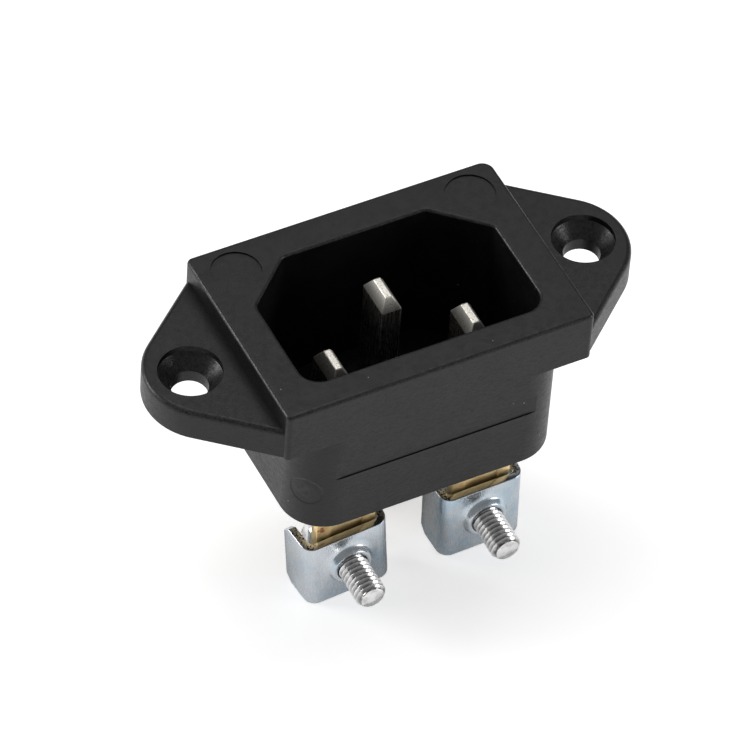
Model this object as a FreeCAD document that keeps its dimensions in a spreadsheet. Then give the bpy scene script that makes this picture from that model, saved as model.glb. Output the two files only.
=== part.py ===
"""C14 panel inlet socket with three screw terminals.

Row frame in millimetres. The origin is on the mounting plane (the rear face of
the ears), midway between the two fixing holes. +X runs along the ears, +Y
towards the earth pin's side and +Z out of the panel, towards the plug.
"""
import FreeCAD, Part
import math
import os
import Sketcher

Vector = FreeCAD.Vector
Rotation = FreeCAD.Rotation
Placement = FreeCAD.Placement

# Driving dimensions, in millimetres and degrees.
SIZES = [
    # fixing ears
    ("hole_spacing", 40.0),
    ("hole_radius", 1.75),
    ("countersink_radius", 3.0),
    ("countersink_step", 0.65),
    ("countersink_drop", 1.35),
    ("ear_arc_inset", 1.85),
    ("ear_radius", 6.1),
    ("ear_angle", 39.9),
    ("ear_thickness", 3.3),
    ("ear_edge_round", 0.5),
    # bezel
    ("bezel_width", 31.0),
    ("bezel_depth", 21.3),
    ("bezel_height", 5.6),
    ("bezel_front_corner", 0.5),
    ("bezel_left_corner", 0.6),
    ("bezel_right_corner", 1.2),
    ("bezel_edge_round", 0.35),
    # rear body, flush with the bezel along its front
    ("body_width", 27.0),
    ("body_depth", 19.9),
    ("body_drop", 11.9),
    ("body_corner", 4.2),
    ("body_edge_bevel", 0.3),
    # socket recess
    ("opening_width", 24.2),
    ("opening_front", 7.7),
    ("opening_back", 7.25),
    ("opening_cut_x", 4.8),
    ("opening_cut_y", 4.4),
    ("opening_front_corner", 2.0),
    ("opening_cut_round", 0.8),
    ("opening_lip_round", 0.3),
    ("floor_thickness", 1.3),
    # shallow marks left by the mould
    ("medallion_x", 11.95),
    ("medallion_y", 7.4),
    ("medallion_radius", 2.4),
    ("medallion_depth", 0.15),
    ("band_half_width", 10.2),
    ("band_top", 3.0),
    ("band_bottom", 5.2),
    ("band_depth", 0.1),
    ("relief_depth", 0.3),
    ("relief_top", 0.4),
    ("relief_bottom", 10.5),
    ("relief_width", 11.4),
    # contact pins
    ("pin_pitch", 14.0),
    ("line_pin_y", 2.8),
    ("earth_pin_y", 1.3),
    ("pin_thickness", 2.0),
    ("pin_width", 4.0),
    ("line_tip_height", 1.85),
    ("earth_tip_height", 4.25),
    ("tip_taper", 1.3),
    ("tip_thickness", 0.65),
    ("tip_width", 2.5),
    ("pin_shoulder", 0.5),
    ("shoulder_height", 0.8),
    ("tenon_thickness", 1.2),
    ("tenon_width", 2.8),
    ("rivet_height", 0.6),
    ("rivet_overhang", 0.4),
    ("pin_clearance", 0.02),
    # brass terminal tabs
    ("tab_width", 6.0),
    ("tab_thickness", 1.2),
    ("tab_reach", 4.7),
    ("tab_heel", 2.2),
    ("tab_bend", 0.6),
    ("tab_drop", 11.7),
    ("tab_corner", 0.8),
    ("channel_width", 3.3),
    ("channel_depth", 0.15),
    ("tab_hole_radius", 1.75),
    ("screw_drop", 8.4),
    # steel yoke nuts
    ("yoke_width", 8.4),
    ("yoke_reach", 4.2),
    ("yoke_height", 8.0),
    ("yoke_above_axis", 3.5),
    ("yoke_sheet", 0.8),
    ("yoke_bend", 0.4),
    ("yoke_splay", 1.5),
    ("line_yoke_splay", 5.0),
    ("yoke_corner", 0.8),
    ("yoke_gap", 0.2),
    ("line_yoke_tilt", 5.0),
    ("neutral_yoke_tilt", 1.5),
    ("collar_base_radius", 2.9),
    ("collar_flare_radius", 2.25),
    ("collar_flare_height", 0.25),
    ("collar_top_radius", 1.95),
    ("collar_height", 0.85),
    ("thread_clearance", 0.05),
    # clamp plates
    ("plate_width", 5.8),
    ("plate_height", 6.4),
    ("plate_thickness", 0.8),
    ("plate_corner", 0.6),
    ("plate_gap", 0.05),
    ("plate_bore_clearance", 0.08),
    # terminal screws
    ("screw_radius", 1.5),
    ("screw_length", 8.0),
    ("screw_tip_bevel", 0.35),
    ("head_radius", 2.75),
    ("head_height", 2.0),
    ("head_crown", 0.5),
    ("head_gap", 0.05),
    ("slot_width", 0.8),
    ("slot_depth", 1.0),
    # how far a cutting sketch runs out past what it cuts
    ("overcut", 1.0),
]

# how small a length or volume counts as none, and how near counts as the same place
EPS = 1e-6
NEAR = 1e-4
AXES = {"x": Vector(1, 0, 0), "y": Vector(0, 1, 0), "z": Vector(0, 0, 1)}

doc = FreeCAD.newDocument("c14_inlet")


# ---------------------------------------------------------------- sheet
def make_sheet():
    """Write every driving dimension to the sheet, each under its own alias."""
    sheet = doc.addObject("Spreadsheet::Sheet", "sizes")
    for row, (alias, value) in enumerate(SIZES, start=1):
        sheet.set(f"A{row}", alias)
        sheet.set(f"B{row}", str(value))
        sheet.setAlias(f"B{row}", alias)
    doc.recompute()
    return sheet


SHEET = make_sheet()


def value_of(expression):
    """The number that an expression of sheet cells gives now."""
    result = SHEET.evalExpression(expression)
    return float(getattr(result, "Value", result))


# ---------------------------------------------------------------- sketches
def origin_plane(body, role):
    """The body's own XY_Plane, XZ_Plane or YZ_Plane."""
    for feature in body.Origin.OriginFeatures:
        if feature.Role == role:
            return feature
    raise ValueError(role)


def new_sketch(body, name, role, offset=None):
    """A sketch on one of the body's origin planes, moved by expressions."""
    sketch = body.newObject("Sketcher::SketchObject", name)
    sketch.AttachmentSupport = [(origin_plane(body, role), "")]
    sketch.MapMode = "FlatFace"
    for axis, expression in (offset or {}).items():
        sketch.setExpression(f"AttachmentOffset.Base.{axis}", expression)
    return sketch


def place_point(sketch, geometry, position, x_text, y_text):
    """Fix one point of the sketch at the coordinates that two expressions give."""
    for axis_index, kind, text in ((-2, "DistanceX", x_text), (-1, "DistanceY", y_text)):
        number = value_of(text)
        if abs(number) < EPS:
            sketch.addConstraint(Sketcher.Constraint("PointOnObject", geometry, position, axis_index))
            continue
        index = sketch.addConstraint(Sketcher.Constraint(kind, -1, 1, geometry, position, number))
        sketch.setExpression(f"Constraints[{index}]", text)


def draw_outline(sketch, corners):
    """Close an outline through corners given as (x, y) or (x, y, radius) expressions.

    A corner with a radius is an arc tangent to both its sides, tied to a
    construction point at the sharp corner.
    """
    points = [Vector(value_of(c[0]), value_of(c[1]), 0) for c in corners]
    radii = [value_of(c[2]) if len(c) > 2 else 0.0 for c in corners]
    count = len(corners)
    starts, ends, arcs = [], [], []
    for i, point in enumerate(points):
        to_last = (points[i - 1] - point).normalize()
        to_next = (points[(i + 1) % count] - point).normalize()
        if not radii[i]:
            starts.append(point)
            ends.append(point)
            arcs.append(None)
            continue
        half_angle = to_last.getAngle(to_next) / 2
        run = radii[i] / math.tan(half_angle)
        centre = point + (to_last + to_next).normalize() * (radii[i] / math.sin(half_angle))
        first = point + to_last * run
        second = point + to_next * run
        turns_left = to_last.cross(to_next).z < 0
        ends.append(first)
        starts.append(second)
        from_point, to_point = (first, second) if turns_left else (second, first)
        angle_1 = math.atan2(from_point.y - centre.y, from_point.x - centre.x)
        angle_2 = math.atan2(to_point.y - centre.y, to_point.x - centre.x)
        if angle_2 < angle_1:
            angle_2 += 2 * math.pi
        circle = Part.Circle(centre, Vector(0, 0, 1), radii[i])
        arcs.append((Part.ArcOfCircle(circle, angle_1, angle_2), turns_left))
    lines = []
    for i in range(count):
        segment = Part.LineSegment(starts[i], ends[(i + 1) % count])
        lines.append(sketch.addGeometry(segment, False))
    for i in range(count):
        before, after = lines[i - 1], lines[i]
        if arcs[i] is None:
            sketch.addConstraint(Sketcher.Constraint("Coincident", before, 2, after, 1))
            place_point(sketch, after, 1, corners[i][0], corners[i][1])
            continue
        arc, turns_left = arcs[i]
        arc_index = sketch.addGeometry(arc, False)
        near, far = (1, 2) if turns_left else (2, 1)
        sketch.addConstraint(Sketcher.Constraint("Tangent", before, 2, arc_index, near))
        sketch.addConstraint(Sketcher.Constraint("Tangent", arc_index, far, after, 1))
        radius_index = sketch.addConstraint(Sketcher.Constraint("Radius", arc_index, radii[i]))
        sketch.setExpression(f"Constraints[{radius_index}]", corners[i][2])
        corner = sketch.addGeometry(Part.Point(points[i]), True)
        place_point(sketch, corner, 1, corners[i][0], corners[i][1])
        sketch.addConstraint(Sketcher.Constraint("PointOnObject", corner, 1, before))
        sketch.addConstraint(Sketcher.Constraint("PointOnObject", corner, 1, after))


def draw_circle(sketch, x_text, y_text, radius_text):
    """A circle whose centre and radius follow expressions."""
    centre = Vector(value_of(x_text), value_of(y_text), 0)
    index = sketch.addGeometry(Part.Circle(centre, Vector(0, 0, 1), value_of(radius_text)), False)
    place_point(sketch, index, 3, x_text, y_text)
    radius_index = sketch.addConstraint(Sketcher.Constraint("Radius", index, value_of(radius_text)))
    sketch.setExpression(f"Constraints[{radius_index}]", radius_text)


def box_corners(x_low, x_high, y_low, y_high, radius=None):
    """The four corners of a rectangle, in draw_outline's form."""
    corners = [(x_low, y_low), (x_high, y_low), (x_high, y_high), (x_low, y_high)]
    if radius:
        corners = [corner + (radius,) for corner in corners]
    return corners


# ---------------------------------------------------------------- features
def new_body(label):
    """A PartDesign body with its own label."""
    body = doc.addObject("PartDesign::Body", label)
    body.Label = label
    return body


def pad(body, sketch, length_text, reverse=False, both_sides=False):
    """Add the sketch's area, extruded."""
    feature = body.newObject("PartDesign::Pad", sketch.Name + "_pad")
    feature.Profile = sketch
    feature.setExpression("Length", length_text)
    feature.Reversed = reverse
    feature.Midplane = both_sides
    doc.recompute()
    return feature


def pocket(body, sketch, length_text, reverse=False, both_sides=False):
    """Cut the sketch's area out, and check that it took something away."""
    before = body.Shape.Volume
    feature = body.newObject("PartDesign::Pocket", sketch.Name + "_pocket")
    feature.Profile = sketch
    feature.setExpression("Length", length_text)
    feature.Reversed = reverse
    feature.Midplane = both_sides
    doc.recompute()
    if not body.Shape.Volume < before - EPS:
        raise ValueError(sketch.Name + " cuts nothing")
    return feature


def turned(body, sketch, kind):
    """A Revolution or Groove of the sketch about its own vertical axis."""
    feature = body.newObject("PartDesign::" + kind, sketch.Name + "_" + kind.lower())
    feature.Profile = sketch
    feature.ReferenceAxis = (sketch, ["V_Axis"])
    feature.Angle = 360
    doc.recompute()
    return feature


def mirrored(body, feature, role):
    """Repeat a feature on the other side of one of the body's origin planes."""
    copy = body.newObject("PartDesign::Mirrored", feature.Name + "_mirrored")
    copy.Originals = [feature]
    copy.MirrorPlane = (origin_plane(body, role), [""])
    body.Tip = copy
    doc.recompute()
    return copy


def edge_names(shape, wanted):
    """The names of the edges whose box and own form pass a test."""
    names = []
    for index, edge in enumerate(shape.Edges, start=1):
        if wanted(edge):
            names.append(f"Edge{index}")
    return names


def round_edges(body, radius_text, wanted):
    """Fillet the edges of the body's last feature that pass a test."""
    last = body.Tip
    names = edge_names(last.Shape, wanted)
    if not names:
        raise ValueError("no edge to round on " + body.Label)
    feature = body.newObject("PartDesign::Fillet", last.Name + "_round")
    feature.Base = (last, names)
    feature.setExpression("Radius", radius_text)
    doc.recompute()
    return feature


def bevel_edges(body, size_text, wanted):
    """Chamfer the edges of the body's last feature that pass a test."""
    last = body.Tip
    names = edge_names(last.Shape, wanted)
    if not names:
        raise ValueError("no edge to bevel on " + body.Label)
    feature = body.newObject("PartDesign::Chamfer", last.Name + "_bevel")
    feature.Base = (last, names)
    feature.setExpression("Size", size_text)
    doc.recompute()
    return feature


def lies_at_height(edge, height):
    """Whether all of an edge lies at one height."""
    box = edge.BoundBox
    return abs(box.ZMin - height) < NEAR and abs(box.ZMax - height) < NEAR


def runs_along(edge, axis):
    """Whether an edge is straight and parallel to X, Y or Z."""
    if edge.Curve.TypeId != "Part::GeomLine":
        return False
    return edge.Curve.Direction.cross(AXES[axis]).Length < EPS


# ---------------------------------------------------------------- housing
def make_housing():
    """The moulding: two ears, the bezel block, the rear body and the socket recess."""
    body = new_body("housing")
    apex = "(sizes.hole_spacing / 2 - sizes.ear_arc_inset + sizes.ear_radius / sin(sizes.ear_angle * 1deg))"
    root_x = "sizes.bezel_width / 2"
    root_y = f"({apex} - {root_x}) * tan(sizes.ear_angle * 1deg)"
    front = "sizes.bezel_depth / 2"

    # ear plate: two rounded triangles, joined under the bezel
    ears = new_sketch(body, "ear_outline", "XY_Plane")
    draw_outline(ears, [
        (apex, "0", "sizes.ear_radius"),
        (root_x, root_y),
        ("-" + root_x, root_y),
        ("-" + apex, "0", "sizes.ear_radius"),
        ("-" + root_x, "-" + root_y),
        (root_x, "-" + root_y),
    ])
    pad(body, ears, "sizes.ear_thickness")
    ear_top = value_of("sizes.ear_thickness")
    side_x = value_of(root_x)

    def on_ear_rim(edge):
        middle = edge.BoundBox.Center
        return lies_at_height(edge, ear_top) and abs(middle.x) > side_x

    round_edges(body, "sizes.ear_edge_round", on_ear_rim)

    # bezel block, sharper at its front corners than at its back ones
    bezel = new_sketch(body, "bezel_outline", "XY_Plane")
    draw_outline(bezel, [
        ("-" + root_x, "-" + front, "sizes.bezel_front_corner"),
        (root_x, "-" + front, "sizes.bezel_front_corner"),
        (root_x, front, "sizes.bezel_right_corner"),
        ("-" + root_x, front, "sizes.bezel_left_corner"),
    ])
    pad(body, bezel, "sizes.bezel_height")
    bezel_top = value_of("sizes.bezel_height")
    round_edges(body, "sizes.bezel_edge_round", lambda edge: lies_at_height(edge, bezel_top))

    # rear body, its front flush with the bezel's
    rear = new_sketch(body, "body_outline", "XY_Plane")
    draw_outline(rear, box_corners(
        "-sizes.body_width / 2", "sizes.body_width / 2",
        "-" + front, "sizes.body_depth - " + front, "sizes.body_corner"))
    pad(body, rear, "sizes.body_drop", reverse=True)
    body_bottom = -value_of("sizes.body_drop")
    bevel_edges(body, "sizes.body_edge_bevel", lambda edge: lies_at_height(edge, body_bottom))

    # socket recess, with its two back corners cut off
    half = "sizes.opening_width / 2"
    opening = new_sketch(body, "opening_outline", "XY_Plane", {"z": "sizes.bezel_height"})
    draw_outline(opening, [
        ("-" + half, "-sizes.opening_front", "sizes.opening_front_corner"),
        (half, "-sizes.opening_front", "sizes.opening_front_corner"),
        (half, "sizes.opening_back - sizes.opening_cut_y", "sizes.opening_cut_round"),
        (half + " - sizes.opening_cut_x", "sizes.opening_back", "sizes.opening_cut_round"),
        ("-" + half + " + sizes.opening_cut_x", "sizes.opening_back", "sizes.opening_cut_round"),
        ("-" + half, "sizes.opening_back - sizes.opening_cut_y", "sizes.opening_cut_round"),
    ])
    pocket(body, opening, "sizes.bezel_height + sizes.body_drop - sizes.floor_thickness")
    inside_x = value_of(half) + NEAR
    inside_y = max(value_of("sizes.opening_front"), value_of("sizes.opening_back")) + NEAR

    def on_lip(edge):
        box = edge.BoundBox
        reach_x = max(abs(box.XMin), abs(box.XMax))
        reach_y = max(abs(box.YMin), abs(box.YMax))
        return reach_x < inside_x and reach_y < inside_y and lies_at_height(edge, bezel_top)

    round_edges(body, "sizes.opening_lip_round", on_lip)

    # fixing holes: a short straight step, a cone for the screw's head and a clearance hole
    sink = new_sketch(body, "fixing_hole", "XZ_Plane", {"x": "sizes.hole_spacing / 2"})
    sink_rim = "sizes.ear_thickness - sizes.countersink_step"
    draw_outline(sink, [
        ("0", "-sizes.overcut"),
        ("sizes.hole_radius", "-sizes.overcut"),
        ("sizes.hole_radius", sink_rim + " - sizes.countersink_drop"),
        ("sizes.countersink_radius", sink_rim),
        ("sizes.countersink_radius", "sizes.ear_thickness + sizes.overcut"),
        ("0", "sizes.ear_thickness + sizes.overcut"),
    ])
    mirrored(body, turned(body, sink, "Groove"), "YZ_Plane")

    # shallow round seats beside the recess, left bare
    seat = new_sketch(body, "medallion", "XY_Plane", {"z": "sizes.bezel_height"})
    draw_circle(seat, "sizes.medallion_x", "sizes.medallion_y", "sizes.medallion_radius")
    mirrored(body, pocket(body, seat, "sizes.medallion_depth"), "YZ_Plane")

    # shallow band across the front
    band = new_sketch(body, "front_band", "XZ_Plane", {"z": front})
    draw_outline(band, box_corners("-sizes.band_half_width", "sizes.band_half_width",
                                   "-sizes.band_bottom", "-sizes.band_top"))
    pocket(body, band, "sizes.band_depth")

    # the flat of each end of the rear body leans in towards the ear, short of the mounting face
    end_x = "sizes.body_width / 2"
    relief = new_sketch(body, "end_relief", "XZ_Plane", {"z": "(sizes.bezel_depth - sizes.body_depth) / 2"})
    draw_outline(relief, [
        (end_x + " - sizes.relief_depth", "-sizes.relief_top"),
        (end_x, "-sizes.relief_bottom"),
        (end_x + " + sizes.overcut", "-sizes.relief_bottom"),
        (end_x + " + sizes.overcut", "-sizes.relief_top"),
    ])
    mirrored(body, pocket(body, relief, "sizes.relief_width", both_sides=True), "YZ_Plane")

    # slots through the floor for the three pins
    slots = new_sketch(body, "pin_slots", "XY_Plane", {"z": "-sizes.body_drop + sizes.floor_thickness"})
    reach_x = "(sizes.pin_thickness / 2 + sizes.pin_clearance)"
    reach_y = "(sizes.pin_width / 2 + sizes.pin_clearance)"
    for x_text, y_text in (("-sizes.pin_pitch / 2", "-sizes.line_pin_y"),
                           ("sizes.pin_pitch / 2", "-sizes.line_pin_y"),
                           ("0", "sizes.earth_pin_y")):
        draw_outline(slots, box_corners(f"{x_text} - {reach_x}", f"{x_text} + {reach_x}",
                                        f"{y_text} - {reach_y}", f"{y_text} + {reach_y}"))
    pocket(body, slots, "sizes.floor_thickness")
    return body


# ---------------------------------------------------------------- terminals
# Each terminal is drawn with its pin on the Z axis and its screw tip towards -Y.
TERMINALS = [
    # name, place in x and y, turn about Z, height of the pin's tip, tilt and splay of the yoke
    ("line", "-sizes.pin_pitch / 2", "-sizes.line_pin_y", 0, "sizes.line_tip_height",
     "sizes.line_yoke_tilt", "sizes.line_yoke_splay"),
    ("neutral", "sizes.pin_pitch / 2", "-sizes.line_pin_y", 0, "sizes.line_tip_height",
     "sizes.neutral_yoke_tilt", "sizes.yoke_splay"),
    ("earth", "0", "sizes.earth_pin_y", 180, "sizes.earth_tip_height", None, "sizes.yoke_splay"),
]
AXIS_Z = "(-sizes.body_drop - sizes.screw_drop)"
TAB_FRONT = "sizes.tab_reach"
YOKE_INSIDE = f"({TAB_FRONT} + sizes.yoke_gap)"
YOKE_FRONT = f"({YOKE_INSIDE} + sizes.yoke_sheet)"
PLATE_FRONT = f"({TAB_FRONT} - sizes.tab_thickness - sizes.plate_gap)"
PLATE_BACK = f"({PLATE_FRONT} - sizes.plate_thickness)"
HEAD_FACE = f"({PLATE_BACK} - sizes.head_gap)"


def set_terminal_place(body, x_text, y_text, turn):
    """Put a terminal piece at its pin, turned about Z."""
    body.Placement = Placement(Vector(), Rotation(Vector(0, 0, 1), turn))
    body.setExpression("Placement.Base.x", x_text)
    body.setExpression("Placement.Base.y", y_text)


def set_yoke_place(body, x_text, y_text, turn, tilt_text):
    """Put a yoke on its screw's axis, turned about Z or tilted about the screw."""
    set_terminal_place(body, x_text, y_text, turn)
    body.setExpression("Placement.Base.z", AXIS_Z)
    if tilt_text:
        body.Placement.Rotation = Rotation(Vector(0, -1, 0), value_of(tilt_text))
        body.setExpression("Placement.Rotation.Angle", tilt_text + " * 1deg")


def make_pin(label, tip_text):
    """A flat pin with a coined tip, a shoulder on the floor and a riveted tail."""
    body = new_body(label)
    floor_z = "(-sizes.body_drop + sizes.floor_thickness)"
    half_x = "sizes.pin_thickness / 2"
    half_y = "sizes.pin_width / 2"

    blade = new_sketch(body, label + "_blade", "XY_Plane", {"z": "-sizes.body_drop"})
    draw_outline(blade, box_corners("-" + half_x, half_x, "-" + half_y, half_y))
    pad(body, blade, f"{tip_text} - sizes.tip_taper + sizes.body_drop")

    # coined tip
    loft_base = new_sketch(body, label + "_tip_base", "XY_Plane", {"z": f"{tip_text} - sizes.tip_taper"})
    draw_outline(loft_base, box_corners("-" + half_x, half_x, "-" + half_y, half_y))
    loft_top = new_sketch(body, label + "_tip_end", "XY_Plane", {"z": tip_text})
    draw_outline(loft_top, box_corners("-sizes.tip_thickness / 2", "sizes.tip_thickness / 2",
                                       "-sizes.tip_width / 2", "sizes.tip_width / 2"))
    doc.recompute()
    loft = body.newObject("PartDesign::AdditiveLoft", label + "_tip")
    loft.Profile = loft_base
    loft.Sections = [loft_top]
    loft.Ruled = True
    doc.recompute()

    # shoulder that stands on the recess floor
    shoulder = new_sketch(body, label + "_shoulder", "XY_Plane", {"z": floor_z})
    draw_outline(shoulder, box_corners("-" + half_x, half_x, "-" + half_y + " - sizes.pin_shoulder",
                                       half_y + " + sizes.pin_shoulder"))
    pad(body, shoulder, "sizes.shoulder_height")

    # tenon through the tab's foot, spread below it
    tenon_x = "sizes.tenon_thickness / 2"
    tenon_y = "sizes.tenon_width / 2"
    tenon = new_sketch(body, label + "_tenon", "XY_Plane", {"z": "-sizes.body_drop"})
    draw_outline(tenon, box_corners("-" + tenon_x, tenon_x, "-" + tenon_y, tenon_y))
    pad(body, tenon, "sizes.tab_thickness", reverse=True)
    spread = " + sizes.rivet_overhang"
    rivet = new_sketch(body, label + "_rivet", "XY_Plane", {"z": "-sizes.body_drop - sizes.tab_thickness"})
    draw_outline(rivet, box_corners("-" + tenon_x + " - sizes.rivet_overhang", tenon_x + spread,
                                    "-" + tenon_y + " - sizes.rivet_overhang", tenon_y + spread))
    pad(body, rivet, "sizes.rivet_height", reverse=True)
    rivet_top = value_of("-sizes.body_drop - sizes.tab_thickness")

    def at_rivet_corner(edge):
        return runs_along(edge, "z") and edge.BoundBox.ZMax < rivet_top + NEAR

    bevel_edges(body, "sizes.rivet_overhang", at_rivet_corner)
    return body


def make_tab(label):
    """A bent brass strip: a foot riveted under the body and a tab that hangs from it."""
    body = new_body(label)
    top = "-sizes.body_drop"
    inner_round = "sizes.tab_bend"
    outer_round = "sizes.tab_bend + sizes.tab_thickness"
    profile = new_sketch(body, label + "_profile", "YZ_Plane")
    draw_outline(profile, [
        ("sizes.tab_heel", top),
        ("-" + TAB_FRONT, top, outer_round),
        ("-" + TAB_FRONT, f"{top} - sizes.tab_drop"),
        (f"-{TAB_FRONT} + sizes.tab_thickness", f"{top} - sizes.tab_drop"),
        (f"-{TAB_FRONT} + sizes.tab_thickness", f"{top} - sizes.tab_thickness", inner_round),
        ("sizes.tab_heel", f"{top} - sizes.tab_thickness"),
    ])
    pad(body, profile, "sizes.tab_width", both_sides=True)
    tab_bottom = value_of(f"{top} - sizes.tab_drop")

    def at_bottom_corner(edge):
        return runs_along(edge, "y") and lies_at_height(edge, tab_bottom)

    bevel_edges(body, "sizes.tab_corner", at_bottom_corner)

    # shallow channel coined down the outer face
    channel = new_sketch(body, label + "_channel", "XZ_Plane", {"z": TAB_FRONT})
    draw_outline(channel, box_corners("-sizes.channel_width / 2", "sizes.channel_width / 2",
                                      f"{top} - sizes.tab_drop - sizes.overcut", f"{top} - {outer_round}"))
    pocket(body, channel, "sizes.channel_depth")

    # screw hole and rivet slot
    hole = new_sketch(body, label + "_screw_hole", "XZ_Plane", {"z": TAB_FRONT + " + sizes.overcut"})
    draw_circle(hole, "0", AXIS_Z, "sizes.tab_hole_radius")
    pocket(body, hole, "sizes.tab_thickness + 2 * sizes.overcut")
    slot = new_sketch(body, label + "_rivet_slot", "XY_Plane", {"z": top})
    slot_x = "(sizes.tenon_thickness / 2 + sizes.pin_clearance)"
    slot_y = "(sizes.tenon_width / 2 + sizes.pin_clearance)"
    draw_outline(slot, box_corners("-" + slot_x, slot_x, "-" + slot_y, slot_y))
    pocket(body, slot, "sizes.tab_thickness")
    return body


def make_yoke(label, splay_text):
    """A bent steel nut: a tapped plate with two splayed legs that straddle the tab.

    Its own origin is on the screw's axis, so that it can stand turned about it.
    """
    body = new_body(label)
    base_z = "sizes.yoke_above_axis - sizes.yoke_height"
    outer = "sizes.yoke_bend + sizes.yoke_sheet"
    lean = f"tan({splay_text} * 1deg)"
    # a leg's faces lean out, so its sheet is measured square to the lean
    skew = f"sizes.yoke_sheet / cos({splay_text} * 1deg)"
    back_y = f"(-{YOKE_FRONT} + sizes.yoke_reach)"
    outside_x = f"(sizes.yoke_width / 2 + sizes.yoke_reach * {lean})"
    half = "sizes.yoke_width / 2"
    inside_x = f"({half} + sizes.yoke_sheet * {lean} - {skew})"
    profile = new_sketch(body, label + "_profile", "XY_Plane", {"z": base_z})
    draw_outline(profile, [
        ("-" + half, "-" + YOKE_FRONT, outer),
        (half, "-" + YOKE_FRONT, outer),
        (outside_x, back_y),
        (f"{outside_x} - {skew}", back_y),
        (inside_x, "-" + YOKE_INSIDE, "sizes.yoke_bend"),
        ("-" + inside_x, "-" + YOKE_INSIDE, "sizes.yoke_bend"),
        (f"-({outside_x} - {skew})", back_y),
        ("-" + outside_x, back_y),
    ])
    pad(body, profile, "sizes.yoke_height")
    rear_y = value_of(back_y)
    bottom_z = value_of(base_z)
    top_z = bottom_z + value_of("sizes.yoke_height")

    def at_leg_corner(edge):
        box = edge.BoundBox
        level = lies_at_height(edge, bottom_z) or lies_at_height(edge, top_z)
        return level and abs(box.YMin - rear_y) < NEAR and abs(box.YMax - rear_y) < NEAR

    bevel_edges(body, "sizes.yoke_corner", at_leg_corner)

    # collar drawn out of the plate towards the screw's tip
    collar = new_sketch(body, label + "_collar", "YZ_Plane")
    draw_outline(collar, [
        (f"-{YOKE_FRONT} + sizes.yoke_sheet / 2", "0"),
        (f"-{YOKE_FRONT} + sizes.yoke_sheet / 2", "sizes.collar_base_radius"),
        (f"-{YOKE_FRONT}", "sizes.collar_base_radius"),
        (f"-{YOKE_FRONT} - sizes.collar_flare_height", "sizes.collar_flare_radius"),
        (f"-{YOKE_FRONT} - sizes.collar_height", "sizes.collar_top_radius"),
        (f"-{YOKE_FRONT} - sizes.collar_height", "0"),
    ])
    drawn = body.newObject("PartDesign::Revolution", label + "_collar_turned")
    drawn.Profile = collar
    drawn.ReferenceAxis = (collar, ["H_Axis"])
    drawn.Angle = 360
    doc.recompute()

    bore_start = f"{YOKE_FRONT} + sizes.collar_height + sizes.overcut"
    bore = new_sketch(body, label + "_bore", "XZ_Plane", {"z": bore_start})
    draw_circle(bore, "0", "0", "sizes.screw_radius + sizes.thread_clearance")
    pocket(body, bore, "sizes.collar_height + sizes.yoke_sheet + 2 * sizes.overcut")
    return body


def make_clamp_plate(label):
    """A square plate under the screw's head, which presses the wire on the tab."""
    body = new_body(label)
    outline = new_sketch(body, label + "_outline", "XZ_Plane", {"z": PLATE_FRONT})
    draw_outline(outline, box_corners(
        "-sizes.plate_width / 2", "sizes.plate_width / 2",
        f"{AXIS_Z} - sizes.plate_height / 2", f"{AXIS_Z} + sizes.plate_height / 2"))
    pad(body, outline, "sizes.plate_thickness", reverse=True)
    bevel_edges(body, "sizes.plate_corner", lambda edge: runs_along(edge, "y"))
    hole = new_sketch(body, label + "_hole", "XZ_Plane", {"z": PLATE_FRONT + " + sizes.overcut"})
    draw_circle(hole, "0", AXIS_Z, "sizes.screw_radius + sizes.plate_bore_clearance")
    pocket(body, hole, "sizes.plate_thickness + 2 * sizes.overcut")
    return body


def make_screw(label):
    """A pan head screw with a driver slot; its head is on the plate's far side."""
    body = new_body(label)
    tip = f"(-{HEAD_FACE} - sizes.screw_length)"
    head_back = f"(-{HEAD_FACE} + sizes.head_height)"
    profile = new_sketch(body, label + "_profile", "YZ_Plane", {"y": AXIS_Z})
    draw_outline(profile, [
        (tip, "0"),
        (tip, "sizes.screw_radius - sizes.screw_tip_bevel"),
        (f"{tip} + sizes.screw_tip_bevel", "sizes.screw_radius"),
        (f"-{HEAD_FACE}", "sizes.screw_radius"),
        (f"-{HEAD_FACE}", "sizes.head_radius"),
        (f"{head_back} - sizes.head_crown", "sizes.head_radius"),
        (head_back, "sizes.head_radius - sizes.head_crown"),
        (head_back, "0"),
    ])
    turned_screw = body.newObject("PartDesign::Revolution", label + "_turned")
    turned_screw.Profile = profile
    turned_screw.ReferenceAxis = (profile, ["H_Axis"])
    turned_screw.Angle = 360
    doc.recompute()
    slot = new_sketch(body, label + "_slot", "XZ_Plane", {"z": f"-{head_back}"})
    draw_outline(slot, box_corners(
        "-sizes.head_radius - sizes.overcut", "sizes.head_radius + sizes.overcut",
        f"{AXIS_Z} - sizes.slot_width / 2", f"{AXIS_Z} + sizes.slot_width / 2"))
    pocket(body, slot, "sizes.slot_depth", reverse=True)
    return body


# ---------------------------------------------------------------- build and write
def make_all():
    """Every piece, in its place."""
    pieces = [make_housing()]
    for name, x_text, y_text, turn, tip_text, tilt_text, splay_text in TERMINALS:
        fixed_to_pin = [
            make_pin(name + "_pin", tip_text),
            make_tab(name + "_tab"),
            make_clamp_plate(name + "_clamp_plate"),
            make_screw(name + "_screw"),
        ]
        for piece in fixed_to_pin:
            set_terminal_place(piece, x_text, y_text, turn)
        yoke = make_yoke(name + "_yoke", splay_text)
        set_yoke_place(yoke, x_text, y_text, turn, tilt_text)
        pieces += fixed_to_pin + [yoke]
    doc.recompute()
    return pieces


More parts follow.
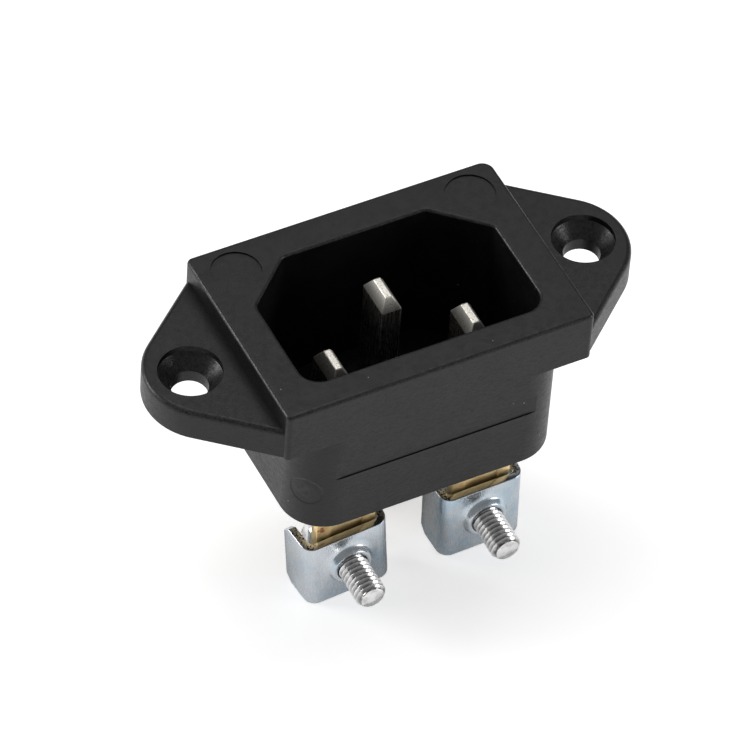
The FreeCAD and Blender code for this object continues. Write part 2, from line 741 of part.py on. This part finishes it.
def check_document(pieces):
    """Stop if any object failed or any piece isn't a valid solid."""
    for item in doc.Objects:
        if "Invalid" in item.State or "Error" in item.State:
            raise ValueError(f"{item.Name} failed: {item.State}")
    for piece in pieces:
        shape = piece.Shape
        if shape.isNull() or not shape.isValid() or not shape.Solids:
            raise ValueError(piece.Label + " is not a valid solid")


PIECES = make_all()
check_document(PIECES)
os.makedirs("parts", exist_ok=True)
for piece in PIECES:
    piece.Shape.exportStep(os.path.join("parts", piece.Label + ".step"))
    print(f"{piece.Label}: {len(piece.Shape.Solids)} solid, {piece.Shape.Volume:.2f} mm3")
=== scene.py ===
"""A panel mounted mains inlet: black moulded housing, plated pins and three screw terminals."""
import math

import bmesh
import bpy
from mathutils import Matrix, Vector


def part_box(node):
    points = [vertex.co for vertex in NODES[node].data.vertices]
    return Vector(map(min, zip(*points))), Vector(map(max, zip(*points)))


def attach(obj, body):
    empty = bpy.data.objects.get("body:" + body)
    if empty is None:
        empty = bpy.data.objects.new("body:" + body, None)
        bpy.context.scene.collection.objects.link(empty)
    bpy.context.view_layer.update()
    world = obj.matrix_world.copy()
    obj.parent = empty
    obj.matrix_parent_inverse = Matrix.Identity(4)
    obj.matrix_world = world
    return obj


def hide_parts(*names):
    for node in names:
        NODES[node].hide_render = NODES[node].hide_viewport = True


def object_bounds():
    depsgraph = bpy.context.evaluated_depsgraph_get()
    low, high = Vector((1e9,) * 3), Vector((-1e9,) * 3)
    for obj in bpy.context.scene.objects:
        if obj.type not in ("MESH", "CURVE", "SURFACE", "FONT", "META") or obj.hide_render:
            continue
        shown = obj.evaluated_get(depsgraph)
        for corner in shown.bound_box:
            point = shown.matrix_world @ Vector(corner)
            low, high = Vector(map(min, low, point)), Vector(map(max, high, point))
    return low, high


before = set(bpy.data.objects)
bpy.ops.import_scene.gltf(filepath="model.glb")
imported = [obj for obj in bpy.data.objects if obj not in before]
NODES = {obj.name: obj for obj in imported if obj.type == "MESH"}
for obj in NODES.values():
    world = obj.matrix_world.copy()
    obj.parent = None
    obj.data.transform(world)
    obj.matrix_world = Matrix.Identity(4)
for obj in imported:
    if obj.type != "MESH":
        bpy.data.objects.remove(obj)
CAD_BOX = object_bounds()


# ---------------------------------------------------------------- camera
# A long lens, looking down from in front of the bezel and to its left, rolled a
# little and aimed a few millimetres off the mounting plane's middle.
MM = 0.001
AZIMUTH = math.radians(-29.97)
ELEVATION = math.radians(48.24)
ROLL = math.radians(4.47)
DISTANCE = 597.8 * MM
SENSOR_WIDTH = 36
FOCAL_LENGTH = 314.736
OFF_CENTRE = (1.099 * MM, 4.263 * MM)

back = Vector((math.sin(AZIMUTH) * math.cos(ELEVATION),
               -math.cos(AZIMUTH) * math.cos(ELEVATION),
               math.sin(ELEVATION)))
level = Vector((math.cos(AZIMUTH), math.sin(AZIMUTH), 0))
square = back.cross(level)
right = math.cos(ROLL) * level + math.sin(ROLL) * square
up = -math.sin(ROLL) * level + math.cos(ROLL) * square
lens = bpy.data.cameras.new("camera")
lens.sensor_width = SENSOR_WIDTH
lens.lens = FOCAL_LENGTH
lens.clip_start = 0.05
lens.clip_end = 20
camera = bpy.data.objects.new("camera", lens)
stand = back * DISTANCE - right * OFF_CENTRE[0] - up * OFF_CENTRE[1]
camera.matrix_world = Matrix.Translation(stand) @ Matrix((right, up, back)).transposed().to_4x4()
bpy.context.scene.collection.objects.link(camera)
bpy.context.scene.camera = camera


# ---------------------------------------------------------------- studio
# White paper under the part, a dim white room and three soft boxes. The paper glows
# to the camera, so it shows white, and to mirrors, with a painted shadow: to mirrors the glow fades out
# towards the part's middle.
class Finish:
    """A material and short ways to add the nodes that colour, roughen and emboss it."""

    def __init__(self, name, **sockets):
        self.material = bpy.data.materials.new(name)
        self.material.use_nodes = True
        self.nodes = self.material.node_tree.nodes
        self.links = self.material.node_tree.links
        self.shader = self.nodes["Principled BSDF"]
        self.place = None
        for socket, value in sockets.items():
            self.shader.inputs[socket.replace("_", " ")].default_value = value

    def add(self, kind, values=None, **settings):
        """A node with its settings, and its sockets set to values or linked to outputs."""
        node = self.nodes.new("ShaderNode" + kind)
        for setting, value in settings.items():
            setattr(node, setting, value)
        for socket, value in (values or {}).items():
            if isinstance(value, bpy.types.NodeSocket):
                self.links.new(value, node.inputs[socket])
            else:
                node.inputs[socket].default_value = value
        return node

    def where(self, stretch=(1, 1, 1), centre=(0, 0, 0)):
        """Object coordinates in millimetres, measured from a centre and stretched."""
        if self.place is None:
            self.place = self.add("TexCoord").outputs["Object"]
        origin = tuple(c * MM for c in centre)
        scale = tuple(s / MM for s in stretch)
        moved = self.add("VectorMath", {0: self.place, 1: origin}, operation="SUBTRACT")
        return self.add("VectorMath", {0: moved.outputs[0], 1: scale}, operation="MULTIPLY").outputs[0]

    def distance(self, stretch=(1, 1, 1), centre=(0, 0, 0)):
        """How far a point is from a centre, in millimetres."""
        node = self.add("VectorMath", {0: self.where(stretch, centre)}, operation="LENGTH")
        return node.outputs["Value"]

    def noise(self, size, detail, stretch=(1, 1, 1), rough=0.5):
        """Cloudy noise from 0 to 1 whose blobs are about size millimetres across."""
        node = self.add("TexNoise", {"Vector": self.where(stretch), "Scale": 1 / size, "Detail": detail,
                                     "Roughness": rough})
        return node.outputs["Fac"]

    def span(self, value, low, high, to_low=0.0, to_high=1.0):
        """A value mapped from one range to another and kept inside it."""
        node = self.add("MapRange", {"Value": value, "From Min": low, "From Max": high,
                                     "To Min": to_low, "To Max": to_high}, interpolation_type="SMOOTHSTEP")
        return node.outputs["Result"]

    def maths(self, operation, first, second=0.0):
        """Arithmetic on one value or two."""
        return self.add("Math", {0: first, 1: second}, operation=operation).outputs[0]

    def blend(self, share, first, second):
        """A colour between two, by a share from 0 to 1."""
        node = self.add("Mix", {0: share, 6: first, 7: second}, data_type="RGBA")
        return node.outputs[2]

    def use(self, socket, value):
        """Feed one of the shader's sockets."""
        self.links.new(value, self.shader.inputs[socket])

    def emboss(self, *layers):
        """Stack bump layers given as (height, depth in millimetres, strength)."""
        normal = None
        for height, depth, strength in layers:
            values = {"Height": height, "Distance": depth * MM, "Strength": strength}
            if normal is not None:
                values["Normal"] = normal
            normal = self.add("Bump", values).outputs["Normal"]
        self.use("Normal", normal)


def made_mesh(name, shape):
    """Turn a finished bmesh into a mesh."""
    mesh = bpy.data.meshes.new(name)
    shape.to_mesh(mesh)
    shape.free()
    return mesh


PAPER_SIZE = 4.0
PAPER_WHITE = (0.86, 0.86, 0.86, 1)
PAPER_SEEN = 0.55
PAPER_MIRRORED = 0.45
# to mirrors the paper's glow carries a painted shadow of the part: gone within MIRRORED_DIM millimetres of
# its middle, full from MIRRORED_FULL
MIRRORED_DIM = 6
MIRRORED_FULL = 19
ROOM_LIGHT = 0.28
SOFT_BOXES = [
    # name, place, width, height, power
    ("overhead", (0.10, 0.35, 0.88), 0.8, 0.6, 3.3),
    ("left", (-0.82, 0.60, 0.36), 0.5, 0.5, 5.2),
    ("right", (0.80, -0.62, 0.30), 0.45, 0.45, 3.0),
]

shape = bmesh.new()
bmesh.ops.create_grid(shape, x_segments=1, y_segments=1, size=PAPER_SIZE / 2)
bmesh.ops.translate(shape, verts=shape.verts, vec=(0, 0, CAD_BOX[0][2]))
paper = bpy.data.objects.new("paper", made_mesh("paper", shape))
bpy.context.scene.collection.objects.link(paper)

white = Finish("white_paper", Base_Color=PAPER_WHITE, Roughness=0.9)
white.shader.inputs["Emission Color"].default_value = (1, 1, 1, 1)
rays = white.add("LightPath")
seen = white.maths("MULTIPLY", rays.outputs["Is Camera Ray"], PAPER_SEEN)
# painted shadow: the glow that mirrors see fades out towards the part's middle
from_middle = white.distance(stretch=(1, 1, 0))
glow_with_painted_shadow = white.span(from_middle, MIRRORED_DIM, MIRRORED_FULL, 0.0, PAPER_MIRRORED)
mirrored = white.maths("MULTIPLY", rays.outputs["Is Glossy Ray"], glow_with_painted_shadow)
white.use("Emission Strength", white.maths("ADD", seen, mirrored))
paper.data.materials.append(white.material)

world = bpy.data.worlds.new("studio")
world.use_nodes = True
world.node_tree.nodes["Background"].inputs["Color"].default_value = (1, 1, 1, 1)
world.node_tree.nodes["Background"].inputs["Strength"].default_value = ROOM_LIGHT
bpy.context.scene.world = world
bpy.context.scene.view_settings.view_transform = "Standard"

for side, place, width, height, power in SOFT_BOXES:
    lamp = bpy.data.lights.new("soft_box_" + side, "AREA")
    lamp.shape = "RECTANGLE"
    lamp.size = width
    lamp.size_y = height
    lamp.energy = power
    box = bpy.data.objects.new("soft_box_" + side, lamp)
    facing = Vector(place).to_track_quat("Z", "Y").to_matrix().to_4x4()
    box.matrix_world = Matrix.Translation(place) @ facing
    bpy.context.scene.collection.objects.link(box)


# ---------------------------------------------------------------- housing
# One injection moulding in black flame retardant plastic: bezel, two countersunk
# ears and the rear body. The mould was spark eroded, so all of it has a fine grain.
BLACK = (0.0025, 0.0022, 0.0025, 1)
BLACK_PALE = (0.0055, 0.0048, 0.0050, 1)
DUST = (0.32, 0.31, 0.30, 1)
# the ejector mark's scuff, and the paler colour of upward-facing edges, which is partly a painted
# highlight
SCUFF_AND_HIGHLIGHT = (0.030, 0.028, 0.028, 1)
EJECTOR_MARK = (-12.25, -9.0, -7.1)
EJECTOR_RADIUS = 1.6
EJECTOR_RIM = 0.12
# dust lies in cells, at most one speck to a cell: cells to a millimetre, a speck's
# fading edge, and the values of a cell's random number at which specks come in
DUST_CELLS = 0.9
DUST_EDGE = (0.07, 0.04)
DUST_CHOICE = (0.92, 0.94)
# edges that face partly upwards are paler and smoother, partly wear and partly a painted highlight: these
# values of the normal's Z fade it in and out
EDGE_FADES_IN = (0.10, 0.40)
EDGE_FADES_OUT = (0.97, 0.85)

plastic = Finish("black_plastic", Specular_IOR_Level=0.34)
grain = plastic.noise(0.16, 3.0, rough=0.6)
cloud = plastic.noise(3.5, 3.0)
plastic_colour = plastic.blend(plastic.span(cloud, 0.3, 0.7), BLACK, BLACK_PALE)
cells = plastic.add("TexVoronoi", {"Vector": plastic.where(), "Scale": DUST_CELLS})
speck = plastic.span(cells.outputs["Distance"], *DUST_EDGE)
chosen = plastic.span(plastic.add("SeparateColor", {0: cells.outputs["Color"]}).outputs[0], *DUST_CHOICE)
dusty = plastic.maths("MULTIPLY", speck, chosen)
from_mark = plastic.distance(centre=EJECTOR_MARK)
mark = plastic.span(from_mark, EJECTOR_RADIUS - EJECTOR_RIM, EJECTOR_RADIUS + EJECTOR_RIM)
scuff = plastic.maths("MULTIPLY", plastic.span(from_mark, EJECTOR_RADIUS, 0.2, 0.0, 0.9),
                      plastic.span(plastic.noise(0.5, 4.0), 0.3, 0.7))
slope = plastic.add("SeparateXYZ", {0: plastic.add("NewGeometry").outputs["Normal"]}).outputs["Z"]
# upward-facing edges take a paler colour: wear and a painted highlight
on_edge = plastic.maths("MULTIPLY", plastic.span(slope, *EDGE_FADES_IN),
                        plastic.span(slope, *EDGE_FADES_OUT))
wear_and_highlight = plastic.maths("MULTIPLY", on_edge, plastic.span(plastic.noise(0.2, 3.0), 0.30, 0.62))
plastic_colour = plastic.blend(plastic.maths("MAXIMUM", scuff, wear_and_highlight), plastic_colour, SCUFF_AND_HIGHLIGHT)
plastic.use("Base Color", plastic.blend(dusty, plastic_colour, DUST))
rub = plastic.span(plastic.noise(0.6, 4.0, stretch=(1, 1, 4)), 0.35, 0.75, 0.36, 0.50)
rubbed = plastic.maths("SUBTRACT", rub, plastic.maths("MULTIPLY", wear_and_highlight, 0.14))
plastic.use("Roughness", plastic.maths("ADD", rubbed, plastic.span(grain, 0.3, 0.7, -0.05, 0.05)))
plastic.emboss((grain, 0.02, 0.8), (cloud, 0.15, 0.25), (mark, 0.08, 0.7), (dusty, 0.03, 0.8))
NODES["housing"].data.materials.clear()
NODES["housing"].data.materials.append(plastic.material)


# ---------------------------------------------------------------- contact pins
# Flat brass pins, nickel plated, with coined tips. Each stands on the recess floor
# on a shoulder, and its tail is spread under the brass tab.
TERMINALS = ("line", "neutral", "earth")
NICKEL = (0.66, 0.64, 0.60, 1)
NICKEL_DULL = (0.46, 0.44, 0.41, 1)
NICKEL_COINED = (0.80, 0.77, 0.71, 1)
SHOULDER_HEIGHT = 0.8 * MM
FLOOR_THICKNESS = 1.3 * MM
TIP_TAPER = 1.3 * MM
# half sizes across and deep, from the tip down to the rivet
TIP_HALF = (0.325 * MM, 1.25 * MM)
BLADE_HALF = (1.0 * MM, 2.0 * MM)
SHOULDER_HALF = (1.0 * MM, 2.5 * MM)
TENON_HALF = (0.6 * MM, 1.4 * MM)
RIVET_HALF = (1.0 * MM, 1.8 * MM)
RIVET_CROWN = (0.7 * MM, 1.5 * MM)
RIVET_HEIGHT = 0.6 * MM
TAB_THICKNESS = 1.2 * MM
PIN_ROUND = 0.13 * MM
ROUND_STEPS = 3
SHARP_FROM = math.radians(30)

nickel = Finish("nickel", Metallic=1.0)
drawn = nickel.noise(0.5, 4.0, stretch=(4, 4, 0.25))
dull = nickel.noise(0.9, 3.0)
nickel.use("Base Color", nickel.blend(nickel.span(dull, 0.45, 0.75), NICKEL, NICKEL_DULL))
nickel.use("Roughness", nickel.span(drawn, 0.3, 0.7, 0.24, 0.34))
nickel.emboss((drawn, 0.0005, 0.15))

coined = Finish("nickel_coined", Metallic=1.0)
pressed = coined.noise(0.14, 3.0, stretch=(1, 1, 0.6))
coined.use("Base Color", coined.blend(coined.span(pressed, 0.45, 0.75), NICKEL_COINED, NICKEL_DULL))
coined.use("Roughness", coined.span(pressed, 0.3, 0.7, 0.42, 0.55))
coined.emboss((pressed, 0.006, 0.5))


def add_piece(name, shape, body, node, slot, *materials):
    """Make a finished bmesh a piece of the object that stands for a CAD node."""
    piece = bpy.data.objects.new(name, made_mesh(name, shape))
    bpy.context.scene.collection.objects.link(piece)
    for material in materials:
        piece.data.materials.append(material)
    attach(piece, body)
    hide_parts(node)
    return piece


def round_off(piece, width):
    """Round a piece's sharp edges and keep its flats flat."""
    bevel = piece.modifiers.new("rounded_edges", "BEVEL")
    bevel.width = width
    bevel.segments = ROUND_STEPS
    bevel.limit_method = "ANGLE"
    bevel.angle_limit = SHARP_FROM
    bevel.harden_normals = True
    for face in piece.data.polygons:
        face.use_smooth = True


for terminal in TERMINALS:
    low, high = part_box(terminal + "_pin")
    middle = (low + high) / 2
    under_floor = low.z + RIVET_HEIGHT + TAB_THICKNESS
    on_floor = under_floor + FLOOR_THICKNESS
    sections = [
        (low.z, RIVET_CROWN),
        (low.z + RIVET_HEIGHT / 2, RIVET_HALF),
        (low.z + RIVET_HEIGHT, RIVET_HALF),
        (low.z + RIVET_HEIGHT, TENON_HALF),
        (under_floor, TENON_HALF),
        (under_floor, BLADE_HALF),
        (on_floor, BLADE_HALF),
        (on_floor, SHOULDER_HALF),
        (on_floor + SHOULDER_HEIGHT, SHOULDER_HALF),
        (on_floor + SHOULDER_HEIGHT, BLADE_HALF),
        (high.z - TIP_TAPER, BLADE_HALF),
        (high.z, TIP_HALF),
    ]

    # the rivet's face is drawn out through every section, and the faces left inside go
    shape = bmesh.new()
    bmesh.ops.create_grid(shape, x_segments=1, y_segments=1, size=1.0)
    end = shape.faces[:]
    last = (1.0, 1.0)
    for index, (z, half) in enumerate(sections):
        if index:
            inner = end if index > 1 else []
            grown = bmesh.ops.extrude_face_region(shape, geom=end)["geom"]
            bmesh.ops.delete(shape, geom=inner, context="FACES_ONLY")
            end = [item for item in grown if isinstance(item, bmesh.types.BMFace)]
        ring = end[0].verts
        bmesh.ops.scale(shape, verts=ring, vec=(half[0] / last[0], half[1] / last[1], 1))
        for vertex in ring:
            vertex.co.z = z
        last = half
    bmesh.ops.translate(shape, verts=shape.verts, vec=(middle.x, middle.y, 0))
    bmesh.ops.recalc_face_normals(shape, faces=shape.faces)
    for face in shape.faces:
        face.material_index = int(face.calc_center_median().z > high.z - TIP_TAPER)
    pin = add_piece(terminal + "_contact_pin", shape, "base", terminal + "_pin", "nickel",
                    nickel.material, coined.material)
    round_off(pin, PIN_ROUND)


# ---------------------------------------------------------------- terminal tabs
# Stamped brass strip, bent down and pierced for the screw, with a shallow channel
# coined down its outer face. It is left bare, so it stains a little with handling.
BRASS = (0.97, 0.75, 0.40, 1)
BRASS_TAN = (0.86, 0.62, 0.31, 1)
BRASS_STAIN = (0.36, 0.15, 0.06, 1)
STAIN_PLACE = (-9.6, -7.5, -15.9)
STAIN_RADIUS = 0.45
TAB_ROUND = 0.1 * MM
SEAM_GAP = 0.0002 * MM
FLAT_WITHIN = math.radians(0.5)

brass = Finish("brass", Metallic=1.0)
rolled = brass.noise(0.4, 4.0, stretch=(5, 5, 0.3))
tarnish = brass.noise(1.6, 4.0, rough=0.6)
brass_colour = brass.blend(brass.span(tarnish, 0.45, 0.7), BRASS, BRASS_TAN)
from_stain = brass.distance(centre=STAIN_PLACE)
wobbly = brass.maths("ADD", from_stain, brass.span(brass.noise(0.4, 3.0), 0.2, 0.8, -0.25, 0.25))
stain = brass.span(wobbly, STAIN_RADIUS, STAIN_RADIUS / 3)
brass.use("Base Color", brass.blend(stain, brass_colour, BRASS_STAIN))
brass.use("Roughness", brass.maths("ADD", brass.span(rolled, 0.3, 0.7, 0.38, 0.52),
                                   brass.maths("MULTIPLY", stain, 0.25)))
brass.emboss((rolled, 0.003, 0.4), (tarnish, 0.006, 0.4))


def merged_copy(node):
    """A bmesh of a CAD node's surface with its seams merged and its flats made whole."""
    shape = bmesh.new()
    shape.from_mesh(NODES[node].data)
    bmesh.ops.remove_doubles(shape, verts=shape.verts, dist=SEAM_GAP)
    bmesh.ops.dissolve_limit(shape, angle_limit=FLAT_WITHIN, verts=shape.verts, edges=shape.edges)
    bmesh.ops.recalc_face_normals(shape, faces=shape.faces)
    return shape


for terminal in TERMINALS:
    shape = merged_copy(terminal + "_tab")
    tab = add_piece(terminal + "_brass_tab", shape, "base", terminal + "_tab", "brass", brass.material)
    round_off(tab, TAB_ROUND)


# ---------------------------------------------------------------- yoke nuts
# A U pressed from steel strip and zinc plated, with a collar drawn out of its web
# and tapped M3. The bends and the collar are smooth, and the sheared edges are rough.
# Towards the bends the sheared edges are painted dark in speckles, as painted shade.
ZINC = (0.60, 0.64, 0.68, 1)
ZINC_BLUE = (0.46, 0.57, 0.66, 1)
ZINC_WARM = (0.58, 0.55, 0.53, 1)
# SHEARED_DARK is painted shade on the sheared edges towards the bends
SHEARED_DARK = (0.04, 0.04, 0.045, 1)
SHEARED_BRIGHT = (0.74, 0.77, 0.80, 1)
# how far from the screw's axis the bends start, and over what width the painted shade fades in
BEND_STARTS = 3.7
BEND_FADE = 0.6
YOKE_ROUND = 0.12 * MM
# a face whose normal's Z is past this is one of the strip's sheared edges
SHEARED_FACES = 0.9
# places in the yoke's list of materials, after the plain zinc
SHEARED_PLACE = 1
DRAWN_PLACE = 2
COLLAR_STEPS = 96
COLLAR_HEIGHT = 0.85 * MM
# the collar's outline, in millimetres: two arcs as (radius and height of the centre, arc radius,
# first angle, last angle), one flaring out of the web and one over the lip
COLLAR_ARCS = [(2.62, 0.45, 0.45, -90, -150), (1.80, 0.69, 0.16, 30, 180)]
ARC_STEPS = 8
COLLAR_SKIRT = (2.90, -0.02)
COLLAR_BORE = [(1.60, 0.62), (1.57, 0.54), (1.56, 0.35)]

zinc = Finish("zinc", Metallic=1.0)
plating = zinc.noise(2.4, 4.0, rough=0.6)
tint = zinc.noise(1.3, 3.0)
zinc_colour = zinc.blend(zinc.span(plating, 0.4, 0.7), ZINC, ZINC_BLUE)
zinc_colour = zinc.blend(zinc.span(tint, 0.55, 0.8, 0.0, 0.5), zinc_colour, ZINC_WARM)
zinc.use("Base Color", zinc_colour)
strip = zinc.noise(0.35, 4.0, stretch=(3, 3, 0.4))
zinc.use("Roughness", zinc.span(strip, 0.3, 0.7, 0.22, 0.32))
zinc.emboss((plating, 0.010, 0.2), (strip, 0.001, 0.3))

drawn_zinc = Finish("zinc_drawn", Metallic=1.0)
polish = drawn_zinc.noise(0.8, 3.0)
drawn_zinc.use("Base Color", drawn_zinc.blend(drawn_zinc.span(polish, 0.35, 0.7), ZINC, ZINC_BLUE))
drawn_zinc.use("Roughness", drawn_zinc.span(polish, 0.3, 0.7, 0.10, 0.18))
drawn_zinc.emboss((polish, 0.004, 0.2))

sheared = Finish("zinc_sheared", Metallic=1.0)
from_axis = sheared.maths("ABSOLUTE", sheared.add("Attribute", attribute_name="across_mm").outputs["Fac"])
bent = sheared.span(from_axis, BEND_STARTS - BEND_FADE, BEND_STARTS)
# painted shade: towards the bends the sheared edge is painted dark in speckles
bend_shade_speckle = sheared.maths("MULTIPLY", bent, sheared.span(sheared.noise(0.22, 4.0, rough=0.6), 0.49, 0.58))
shear_lines = sheared.noise(0.09, 2.0, stretch=(1, 0.08, 0.1))
sheared.use("Base Color", sheared.blend(bend_shade_speckle, SHEARED_BRIGHT, SHEARED_DARK))
sheared.use("Roughness", sheared.span(bent, 0.0, 1.0, 0.14, 0.36))
sheared.emboss((shear_lines, 0.004, 0.5), (bend_shade_speckle, 0.01, 0.5))

collar_profile = [COLLAR_SKIRT]
for radius, height, reach, first, last in COLLAR_ARCS:
    for step in range(ARC_STEPS + 1):
        angle = math.radians(first + (last - first) * step / ARC_STEPS)
        collar_profile.append((radius + reach * math.cos(angle), height + reach * math.sin(angle)))
collar_profile += COLLAR_BORE


def screw_axis(terminal):
    """Where a terminal's screw lies, across and up, and which way it points along Y."""
    low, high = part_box(terminal + "_screw")
    return (low.x + high.x) / 2, (low.z + high.z) / 2, 1 if terminal == "earth" else -1


def turn_outline(shape, profile, axis_x, axis_z, start_y, outward, steps, turns=1, pitch=0.0):
    """Turn an outline of radii and heights in millimetres about a screw's axis, and give its faces."""
    before = set(shape.faces)
    outline = [shape.verts.new((axis_x + radius * MM, start_y + outward * height * MM, axis_z))
               for radius, height in profile]
    edges = [shape.edges.new(pair) for pair in zip(outline, outline[1:])]
    bmesh.ops.spin(shape, geom=outline + edges, cent=(axis_x, 0, axis_z), axis=(0, 1, 0),
                   dvec=(0, outward * pitch / steps, 0), angle=2 * math.pi * turns,
                   steps=steps * turns, use_merge=pitch == 0)
    return [face for face in shape.faces if face not in before]


for terminal in TERMINALS:
    shape = merged_copy(terminal + "_yoke")
    for face in shape.faces:
        face.material_index = SHEARED_PLACE if abs(face.normal.z) > SHEARED_FACES else 0
    axis_x, axis_z, outward = screw_axis(terminal)
    low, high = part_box(terminal + "_yoke")
    collar_tip = high.y if outward > 0 else low.y
    web_y = collar_tip - outward * COLLAR_HEIGHT
    collar = turn_outline(shape, collar_profile, axis_x, axis_z, web_y, outward, COLLAR_STEPS)
    for face in collar:
        face.material_index = DRAWN_PLACE
    if outward > 0:
        # a collar that points the other way comes out of the turning inside out
        bmesh.ops.reverse_faces(shape, faces=collar)
    yoke = add_piece(terminal + "_yoke_nut", shape, "base", terminal + "_yoke", "zinc",
                     zinc.material, sheared.material, drawn_zinc.material)
    across_mm = yoke.data.attributes.new("across_mm", "FLOAT", "POINT")
    for vertex, item in zip(yoke.data.vertices, across_mm.data):
        item.value = (vertex.co.x - axis_x) / MM
    round_off(yoke, YOKE_ROUND)


# ---------------------------------------------------------------- clamp plates
# Square steel plates with cut corners, stamped and zinc plated. Each is held under
# its screw's head, travels with the screw and presses the wire on the tab.
PLATE_ROUND = 0.12 * MM

for terminal in TERMINALS:
    shape = merged_copy(terminal + "_clamp_plate")
    plate = add_piece(terminal + "_wire_plate", shape, terminal + "_plate", terminal + "_clamp_plate",
                      "zinc", zinc.material)
    round_off(plate, PLATE_ROUND)


# ---------------------------------------------------------------- terminal screws
# M3 pan head screws, thread rolled and zinc plated, with a slot for the driver.
# The crests are bright and the roots are painted dark, as painted shade.
SCREW_BRIGHT = (0.84, 0.84, 0.84, 1)
# SCREW_ROOT is painted shade in the thread's roots
SCREW_ROOT = (0.22, 0.21, 0.21, 1)
SCREW_GREY = (0.58, 0.58, 0.58, 1)
PITCH = 0.5 * MM
STEPS_A_TURN = 40
HEAD_HEIGHT = 2.0 * MM
# the plain screw is cut off just past its head's face, where the thread begins
HEAD_OVERLAP = 0.02 * MM
TIP_BEVEL = 0.35 * MM
# the flat tip, from here on, is bright like the crests
TIP_FLAT = 0.01 * MM
THREAD_RADIUS = 1.49 * MM
# the roots' painted shade starts at this radius and is full at this depth below it
ROOT_SHADE_RADIUS = 1.42 * MM
ROOT_SHADE_DEPTH = 0.2 * MM
THREAD_GAP = 0.002 * MM
CUT_WITHIN = 1e-7
CREASE_FROM = math.radians(50)
# one pitch of the thread's outline: (radius, place along the axis), in millimetres
THREAD_OUTLINE = [(1.20, 0.0), (1.19, 0.05), (1.24, 0.10), (1.46, 0.21), (1.49, 0.25),
                  (1.46, 0.29), (1.24, 0.40), (1.20, 0.5)]

screw_zinc = Finish("screw_zinc", Metallic=1.0)
root_shade_noise = screw_zinc.noise(0.5, 3.0)
depth = screw_zinc.add("Attribute", attribute_name="thread_depth").outputs["Fac"]
# painted shade: the thread's roots are darkened by their depth
in_root = screw_zinc.maths("MULTIPLY", depth, screw_zinc.span(root_shade_noise, 0.3, 0.6, 0.55, 1.0))
bright = screw_zinc.blend(screw_zinc.span(screw_zinc.noise(0.8, 3.0), 0.4, 0.7), SCREW_BRIGHT, SCREW_GREY)
screw_zinc.use("Base Color", screw_zinc.blend(in_root, bright, SCREW_ROOT))
screw_zinc.use("Roughness", screw_zinc.span(screw_zinc.noise(0.2, 3.0), 0.3, 0.7, 0.14, 0.26))
screw_zinc.emboss((screw_zinc.noise(0.12, 3.0), 0.006, 0.5))


def cut_square(shape, cut_y, side):
    """Cut off what lies past a plane across the screw, on one side of it, and close the cut."""
    whole = shape.verts[:] + shape.edges[:] + shape.faces[:]
    cut = bmesh.ops.bisect_plane(shape, geom=whole, dist=CUT_WITHIN, plane_co=(0, cut_y, 0),
                                 plane_no=(0, side, 0), clear_outer=True)
    rim = [edge for edge in cut["geom_cut"] if isinstance(edge, bmesh.types.BMEdge)]
    bmesh.ops.holes_fill(shape, edges=rim)


for terminal in TERMINALS:
    axis_x, axis_z, outward = screw_axis(terminal)
    low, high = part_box(terminal + "_screw")
    tip_y, top_y = (high.y, low.y) if outward > 0 else (low.y, high.y)
    head_y = top_y + outward * HEAD_HEIGHT

    # the head, cut from the plain screw
    shape = merged_copy(terminal + "_screw")
    cut_square(shape, head_y + outward * HEAD_OVERLAP, outward)

    # the thread, wound past both its ends, trimmed to the tip's bevel and cut off square
    turns = math.ceil(abs(head_y - tip_y) / PITCH) + 2
    start_y = head_y - outward * PITCH
    thread = bmesh.new()
    turn_outline(thread, THREAD_OUTLINE, axis_x, axis_z, start_y, outward, STEPS_A_TURN, turns, PITCH)
    bmesh.ops.remove_doubles(thread, verts=thread.verts, dist=THREAD_GAP)
    for vertex in thread.verts:
        across = Vector((vertex.co.x - axis_x, 0, vertex.co.z - axis_z))
        from_tip = outward * (tip_y - vertex.co.y)
        allowed = THREAD_RADIUS - TIP_BEVEL + max(from_tip, 0)
        if across.length > allowed:
            across *= allowed / across.length
            vertex.co.x = axis_x + across.x
            vertex.co.z = axis_z + across.z
    cut_square(thread, tip_y, outward)
    cut_square(thread, head_y, -outward)
    bmesh.ops.recalc_face_normals(thread, faces=thread.faces)
    wound = made_mesh(terminal + "_thread", thread)
    shape.from_mesh(wound)
    bpy.data.meshes.remove(wound)

    screw = add_piece(terminal + "_m3_screw", shape, terminal + "_screw", terminal + "_screw",
                      "screw_zinc", screw_zinc.material)
    thread_depth = screw.data.attributes.new("thread_depth", "FLOAT", "POINT")
    for vertex, item in zip(screw.data.vertices, thread_depth.data):
        radius = math.hypot(vertex.co.x - axis_x, vertex.co.z - axis_z)
        past_head = outward * (vertex.co.y - head_y) > 0
        short_of_tip = outward * (tip_y - vertex.co.y) > TIP_FLAT
        # painted shade in the roots, by depth below ROOT_SHADE_RADIUS
        root_shade = min(max((ROOT_SHADE_RADIUS - radius) / ROOT_SHADE_DEPTH, 0.0), 1.0)
        item.value = root_shade if past_head and short_of_tip else 0.0
    for face in screw.data.polygons:
        face.use_smooth = True
    screw.data.set_sharp_from_angle(angle=CREASE_FROM)
